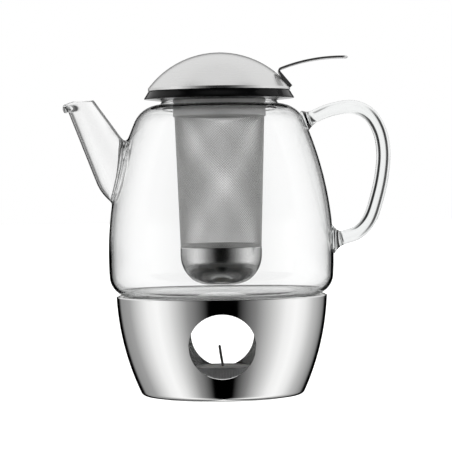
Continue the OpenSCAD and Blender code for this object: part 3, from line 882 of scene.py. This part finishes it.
def make_mesh_sleeve():
    """Two sets of crossing wires, woven over and under each other round the sleeve."""
    low = sleeve_low[2]
    high = sleeve_high[2]
    low_r = cup_high[0] - 0.28
    high_r = sleeve_high[0] - 0.28
    turn = (high - low) / ((low_r + high_r) / 2)
    crossings = int(round(WIRES * turn / math.pi))
    sides = 4
    data = bpy.data.meshes.new("wire_sleeve")
    shares = np.linspace(0, 1, crossings + 1)
    verts = []
    faces = []
    for hand in (1, -1):
        for wire in range(WIRES):
            start = 2 * math.pi * wire / WIRES
            angles = start + hand * turn * shares
            heights = low + (high - low) * shares
            weave = WIRE_R * 0.55 * hand * (-1.0) ** (np.arange(crossings + 1) + wire)
            middle = low_r + (high_r - low_r) * shares + weave
            base = len(verts)
            tilt = hand * math.pi / 4
            for angle, height, radius in zip(angles, heights, middle):
                out = np.array([math.cos(angle), math.sin(angle), 0])
                side = np.array([-math.sin(angle) * math.cos(tilt), math.cos(angle) * math.cos(tilt),
                                 -math.sin(tilt)])
                centre = radius * out + np.array([0, 0, height])
                for k in range(sides):
                    spin = 2 * math.pi * (k + 0.5) / sides
                    verts.append((centre + WIRE_R * (math.cos(spin) * out + math.sin(spin) * side)) * MM)
            for i in range(crossings):
                for k in range(sides):
                    n = (k + 1) % sides
                    a = base + i * sides
                    b = a + sides
                    faces.append((a + k, a + n, b + n, b + k))
            faces.append(tuple(base + k for k in reversed(range(sides))))
            faces.append(tuple(base + crossings * sides + k for k in range(sides)))
    data.from_pydata(verts, [], faces)
    data.validate()
    data.shade_smooth()
    sleeve = bpy.data.objects.new("wire_sleeve", data)
    bpy.context.scene.collection.objects.link(sleeve)
    return sleeve


CUP_T = 0.8
CUP_CORNER = 18
CUP_CORNER_Z = 81
CUP_SEAM_Z = 85.5


def make_infuser_cup():
    radius = cup_high[0]
    bottom = cup_low[2]
    corner = np.array([radius - CUP_CORNER, CUP_CORNER_Z])
    rise = CUP_CORNER_Z - bottom
    reach = (corner[0] ** 2 + rise**2 - CUP_CORNER**2) / (2 * (rise - CUP_CORNER))
    centre = np.array([0, bottom + reach])
    join = (corner - centre) / np.linalg.norm(corner - centre)

    def outline(inset):
        half = arc((0, bottom + inset), centre + (reach - inset) * join, reach - inset, 10)
        half += arc(corner + (CUP_CORNER - inset) * join, (radius - inset, CUP_CORNER_Z),
                    CUP_CORNER - inset, 20)
        return half

    spigot = radius - 0.7
    profile = outline(0)
    profile += line((radius, CUP_CORNER_Z + 0.3), (radius, CUP_SEAM_Z - 0.25), 8)
    profile += arc((radius, CUP_SEAM_Z - 0.25), (radius - 0.25, CUP_SEAM_Z), 0.25, 4)
    profile += [(spigot, CUP_SEAM_Z), (spigot, cup_high[2]), (spigot - 0.5, cup_high[2])]
    profile += [(spigot - 0.5, CUP_SEAM_Z - 1)]
    profile += outline(CUP_T)[::-1]
    return smooth(lathe("infuser_cup", profile, 192))


# ---------- lid ----------

DOME_REACH = 51
DOME_T = 0.8
SKIRT_Z = 176.5
DOME_CENTRE = np.array([0, dome_high[2] - DOME_REACH])


def make_dome():
    skirt_r = math.sqrt(DOME_REACH**2 - (SKIRT_Z - DOME_CENTRE[1]) ** 2)
    skirt = np.array([skirt_r, SKIRT_Z])
    normal = (skirt - DOME_CENTRE) / DOME_REACH
    edge_r = dome_high[0]
    low = dome_low[2]
    profile = arc((0, dome_high[2]), skirt, -DOME_REACH, 64)
    profile += arc(skirt, (edge_r, low + 0.1), -60, 8)
    profile += arc((edge_r, low + 0.1), (edge_r - 0.1, low), -0.1, 4)
    profile += arc((edge_r - DOME_T + 0.2, low), (edge_r - DOME_T, low + 0.2), -0.2, 3)
    profile += arc((edge_r - DOME_T, low + 0.3), skirt - DOME_T * normal, 60, 8)
    profile += arc(skirt - DOME_T * normal, (0, dome_high[2] - DOME_T), DOME_REACH - DOME_T, 48)
    return smooth(lathe("dome_shell", profile, 256))


LEVER_W = 14
LEVER_T = 1.2
LEVER_EDGE = 0.14
LEVER_TOP = np.array([69.5, 193.3])
LEVER_ARC = 97
LEVER_TIP_X = 73.3
LEVER_BEND_X = 36.04
LEVER_BEND_R = 1.5
LEG_TILT = math.radians(50.3)
LEG_L = 10.2
LEG_T = 1.9


def make_lever():
    """A strip that lies on the dome, bends back sharply and rises into a thumb rest."""
    half = LEVER_T / 2
    centre = LEVER_TOP - np.array([0, LEVER_ARC])
    bend_rise = math.sqrt((LEVER_ARC - LEVER_BEND_R) ** 2 - (LEVER_BEND_X - centre[0]) ** 2)
    bend = centre + np.array([LEVER_BEND_X - centre[0], bend_rise])
    up = (bend - centre) / (LEVER_ARC - LEVER_BEND_R)
    out = np.array([math.sin(LEG_TILT), math.cos(LEG_TILT)])
    down = np.array([out[1], -out[0]])
    tip_x = LEVER_TIP_X + half
    tip = (tip_x, centre[1] + math.sqrt(LEVER_ARC**2 - (tip_x - centre[0]) ** 2))
    top = centre + LEVER_ARC * up
    leg_top = bend - LEVER_BEND_R * out
    path = [tuple(point) for point in np.linspace(leg_top + LEG_L * down, leg_top, 24)]
    path += arc(leg_top, top, -LEVER_BEND_R, 16)
    path += arc(top, tip, -LEVER_ARC, 48)
    path = np.array(tidy(path))
    last = len(path) - 1
    walked = np.concatenate([[0], np.cumsum(np.hypot(*np.diff(path, axis=0).T))])
    corner = 3.5
    rings = []
    for i, point in enumerate(path):
        ahead = path[min(i + 1, last)] - path[max(i - 1, 0)]
        ahead /= np.hypot(*ahead)
        aside = np.array([-ahead[1], ahead[0]])
        left = walked[-1] - walked[i]
        inset = corner - math.sqrt(max(0.0, corner**2 - max(0.0, corner - left) ** 2))
        wide = LEVER_W / 2 - inset
        thick = half
        if left < half:
            thick = max(0.12, math.sqrt(half**2 - (half - left) ** 2))
        extra = (LEG_T - LEVER_T) * min(1.0, max(0.0, (LEG_L - walked[i]) / 3))
        ring = []
        for y, z in rounded_bar(wide, thick + extra / 2, LEVER_EDGE):
            x_here, z_here = point + aside * (z + extra / 2)
            ring.append((x_here, y, z_here))
        rings.append(ring)
    return smooth(skin("thumb_lever", rings), 50)


def rounded_bar(half_width, half_height, radius):
    """The outline of a flat bar with rounded edges, as (across, up) points."""
    radius = min(radius, half_height * 0.98)
    outline = []
    for quarter in range(4):
        sx = (1, -1, -1, 1)[quarter]
        sz = (1, 1, -1, -1)[quarter]
        for step in range(5):
            angle = math.pi / 2 * (quarter + step / 4)
            outline.append((sx * (half_width - radius) + radius * math.cos(angle),
                            sz * (half_height - radius) + radius * math.sin(angle)))
    return outline


# ---------- the object ----------

polished = polished_steel()
cup_steel = polished_steel("cup_steel", (0.17, 0.3), 0.72)
satin = satin_steel()
dome_steel = satin_steel("dome_steel", (0.2, 0.32), 0.8)
collar_steel = satin_steel("collar_steel", (0.5, 0.62), 0.8, 0.3)
glass = clear_glass()
plastic = black_plastic()
seal = silicone("seal_silicone", 0.02)
rubber = silicone("foot_rubber", 0.03)
wire = wire_steel()
foil = tealight_foil()
wax = candle_wax()
cotton = wick_cotton()

finished(make_stand_bowl(), "stand", "polished_steel", polished, "stand_shell")
finished(make_rest_ring(), "stand", "satin_steel", satin, "pot_rest_ring")
finished(make_locator(), "stand", "satin_steel", satin, "tealight_locator")
finished(make_foot_pad(), "stand", "foot_rubber", rubber, "stand_foot_ring")
finished(make_candle_cup(), "tealight", "tealight_foil", foil, "tealight_cup")
finished(make_wax(), "tealight", "wax", wax, "tealight_wax")
finished(make_wick(), "tealight", "wick_cotton", cotton, "tealight_wick")
finished(make_pot(), "pot", "clear_glass", glass, "glass_body", "glass_spout", "glass_handle")
finished(make_lid_ring(), "infuser", "black_plastic", plastic, "lid_ring")
finished(make_gasket(), "infuser", "seal_silicone", seal, "neck_gasket")
finished(make_collar(), "infuser", "satin_steel", collar_steel, "strainer_collar")
finished(make_mesh_sleeve(), "infuser", "steel_mesh", wire, "strainer_mesh")
finished(make_infuser_cup(), "infuser", "polished_steel", cup_steel, "strainer_cup")
finished(make_dome(), "lid", "satin_steel", dome_steel, "lid_dome")
finished(make_lever(), "lid", "satin_steel", satin, "lid_lever")
for node, material in (("hinge_pin", satin), ("hinge_leaf", satin), ("wick_tab", foil)):
    cad_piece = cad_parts[node]
    cad_piece.data.materials.clear()
    cad_piece.data.materials.append(material)


# ---------- stage, light and camera ----------

def make_floor():
    """A plain pale floor, level with the warmer's foot."""
    rings = [[(r * math.cos(a), r * math.sin(a), -0.02) for a in np.arange(96) * math.tau / 96]
             for r in (0.0, 400.0, 6000.0)]
    floor = skin("floor", rings)
    material, tree, shader = new_material("pale_floor")
    speckle = mapped_noise(tree, (1, 1, 1), 3, 2)
    tree.links.new(between(tree, speckle.outputs["Fac"], 0.7, 0.8), shader.inputs["Roughness"])
    shader.inputs["Base Color"].default_value = (0.93, 0.93, 0.93, 1)
    shader.inputs["Specular IOR Level"].default_value = 0.1
    shader.inputs["Emission Color"].default_value = (1, 1, 1, 1)
    shader.inputs["Emission Strength"].default_value = 0.3
    floor.data.materials.append(material)
    floor.visible_glossy = False
    floor.visible_transmission = False


# Brightness by the angle from +Y towards +X, in degrees. Mirrors see two softboxes, a bright strip
# straight behind and a dark room in front. Those values are rounded from brightness that was read off the
# warmer in the photo. The glass sees a white card behind it and dark flags for its edges.
SOFTBOXES = [
    (-180, 0), (-165, 0), (-142, 0.32), (-118, 0.9), (-104, 1.1), (-90, 1), (-58, 0.4), (-35, 0.3), (-27, 0),
    (-8, 0), (-6, 0.9), (6, 0.9), (8, 0), (26, 0), (34, 0.25), (60, 0.6), (76, 0.95), (90, 1.1), (104, 1),
    (142, 0.25), (163, 0), (180, 0)
]
FLAGS = [
    (-180, 0.2), (-150, 0.9), (-122, 1), (-116, 0.4), (-105, 0.4), (-100, 1), (-74, 1), (-68, 0.3),
    (-59, 0.3), (-54, 0.95), (-27, 0.95), (-23, 0.05), (-12, 0.05), (-9, 0.8), (-6, 0.95), (-4.5, 1.04),
    (0, 1), (4, 1.06), (9, 0.98), (11, 0.03), (23, 0.03), (27, 0.95), (41, 0.95), (45, 0.15), (90, 0.15),
    (96, 1), (122, 1), (150, 0.9), (180, 0.2)
]
ROOM_DARK_FROM = 95
ROOM_LIGHT = 0.85
CARD_EDGE = (20, 28)
CARD_GLOW = (6, 9)
TOP_LIGHT = 0.8


def math_node(tree, operation, *values):
    """A math node's result for values or links."""
    node = add(tree, "ShaderNodeMath")
    node.operation = operation
    for socket, value in zip(node.inputs, values):
        if isinstance(value, bpy.types.NodeSocket):
            tree.links.new(value, socket)
        else:
            socket.default_value = value
    return node.outputs["Value"]


def step_node(tree, value, low, high):
    """Rises smoothly from 0 to 1 between low and high."""
    node = add(tree, "ShaderNodeMapRange", Value=value)
    node.interpolation_type = "SMOOTHSTEP"
    node.inputs["From Min"].default_value = low
    node.inputs["From Max"].default_value = high
    return node.outputs["Result"]


def light_ramp(tree, turn, lights):
    """A brightness that follows a list of lights round the whole turn."""
    ramp = add(tree, "ShaderNodeValToRGB", Fac=turn)
    elements = ramp.color_ramp.elements
    elements[0].color = (lights[0][1],) * 3 + (1,)
    elements[1].color = (lights[-1][1],) * 3 + (1,)
    for degrees, value in lights[1:-1]:
        elements.new(degrees / 360 + 0.5).color = (value, value, value, 1)
    return ramp.outputs["Color"]


def blend(tree, factor, low, high):
    """Low where the factor is 0, high where it is 1."""
    return math_node(tree, "MULTIPLY_ADD", factor, math_node(tree, "SUBTRACT", high, low), low)


def make_world():
    world = bpy.data.worlds.new("studio")
    bpy.context.scene.world = world
    world.use_nodes = True
    tree = world.node_tree
    place = add(tree, "ShaderNodeTexCoord")
    split = add(tree, "ShaderNodeSeparateXYZ", Vector=place.outputs["Generated"])
    rise = split.outputs["Z"]
    angle = math_node(tree, "ARCTAN2", split.outputs["X"], split.outputs["Y"])
    turn = math_node(tree, "MULTIPLY_ADD", angle, 1 / math.tau, 0.5)
    softboxes = light_ramp(tree, turn, SOFTBOXES)
    away = math_node(tree, "ABSOLUTE", angle)
    in_front = step_node(tree, away, math.radians(ROOM_DARK_FROM - 5), math.radians(ROOM_DARK_FROM + 5))
    from_card = math_node(tree, "ARCCOSINE", split.outputs["Y"])
    edge = step_node(tree, from_card, math.radians(CARD_EDGE[0]), math.radians(CARD_EDGE[1]))
    glow = step_node(tree, from_card, math.radians(CARD_GLOW[0]), math.radians(CARD_GLOW[1]))
    edge = math_node(tree, "MAXIMUM", edge, math_node(tree, "SUBTRACT", 1, glow))
    upper = blend(tree, in_front, math_node(tree, "MULTIPLY", edge, ROOM_LIGHT), 0)
    mirrored = blend(tree, blend(tree, in_front, step_node(tree, rise, -0.03, 0.02),
                                 step_node(tree, rise, 0.1, 0.2)), softboxes, upper)
    mirrored = blend(tree, step_node(tree, rise, 0.84, 0.93), mirrored, TOP_LIGHT)
    steep = step_node(tree, math_node(tree, "ABSOLUTE", rise), 0.15, 0.5)
    refracted = blend(tree, steep, light_ramp(tree, turn, FLAGS), 1)
    path = add(tree, "ShaderNodeLightPath")
    glossy = math_node(tree, "GREATER_THAN", path.outputs["Glossy Depth"], 0.5)
    along_wall = math_node(tree, "COMPARE", path.outputs["Transmission Depth"], 2, 0.5)
    mirrored = blend(tree, along_wall, mirrored, softboxes)
    value = blend(tree, glossy, refracted, mirrored)
    plain = math_node(tree, "MAXIMUM", path.outputs["Is Camera Ray"], path.outputs["Is Diffuse Ray"])
    value = blend(tree, plain, value, 1)
    tree.links.new(value, tree.nodes["Background"].inputs["Color"])


CAMERA_AT = Vector((2.95, -1409, 122.5)) * MM
CAMERA_TO = Vector((2.95, 0, 97.4)) * MM
CAMERA_ROLL = math.radians(-0.78)


def make_camera():
    data = bpy.data.cameras.new("camera")
    data.lens = 195.7
    data.clip_start = 0.1
    data.clip_end = 30
    camera = bpy.data.objects.new("camera", data)
    bpy.context.scene.collection.objects.link(camera)
    camera.location = CAMERA_AT
    turn = (CAMERA_TO - CAMERA_AT).to_track_quat("-Z", "Y")
    roll = turn.to_matrix() @ Vector((0, 0, 1))
    camera.rotation_mode = "QUATERNION"
    camera.rotation_quaternion = Quaternion(roll, CAMERA_ROLL) @ turn
    bpy.context.scene.camera = camera


make_floor()
make_world()
make_camera()
scene = bpy.context.scene
scene.view_settings.view_transform = "Standard"
scene.view_settings.look = "None"
scene.cycles.max_bounces = 24
scene.cycles.transmission_bounces = 24
scene.cycles.glossy_bounces = 8
scene.cycles.transparent_max_bounces = 24
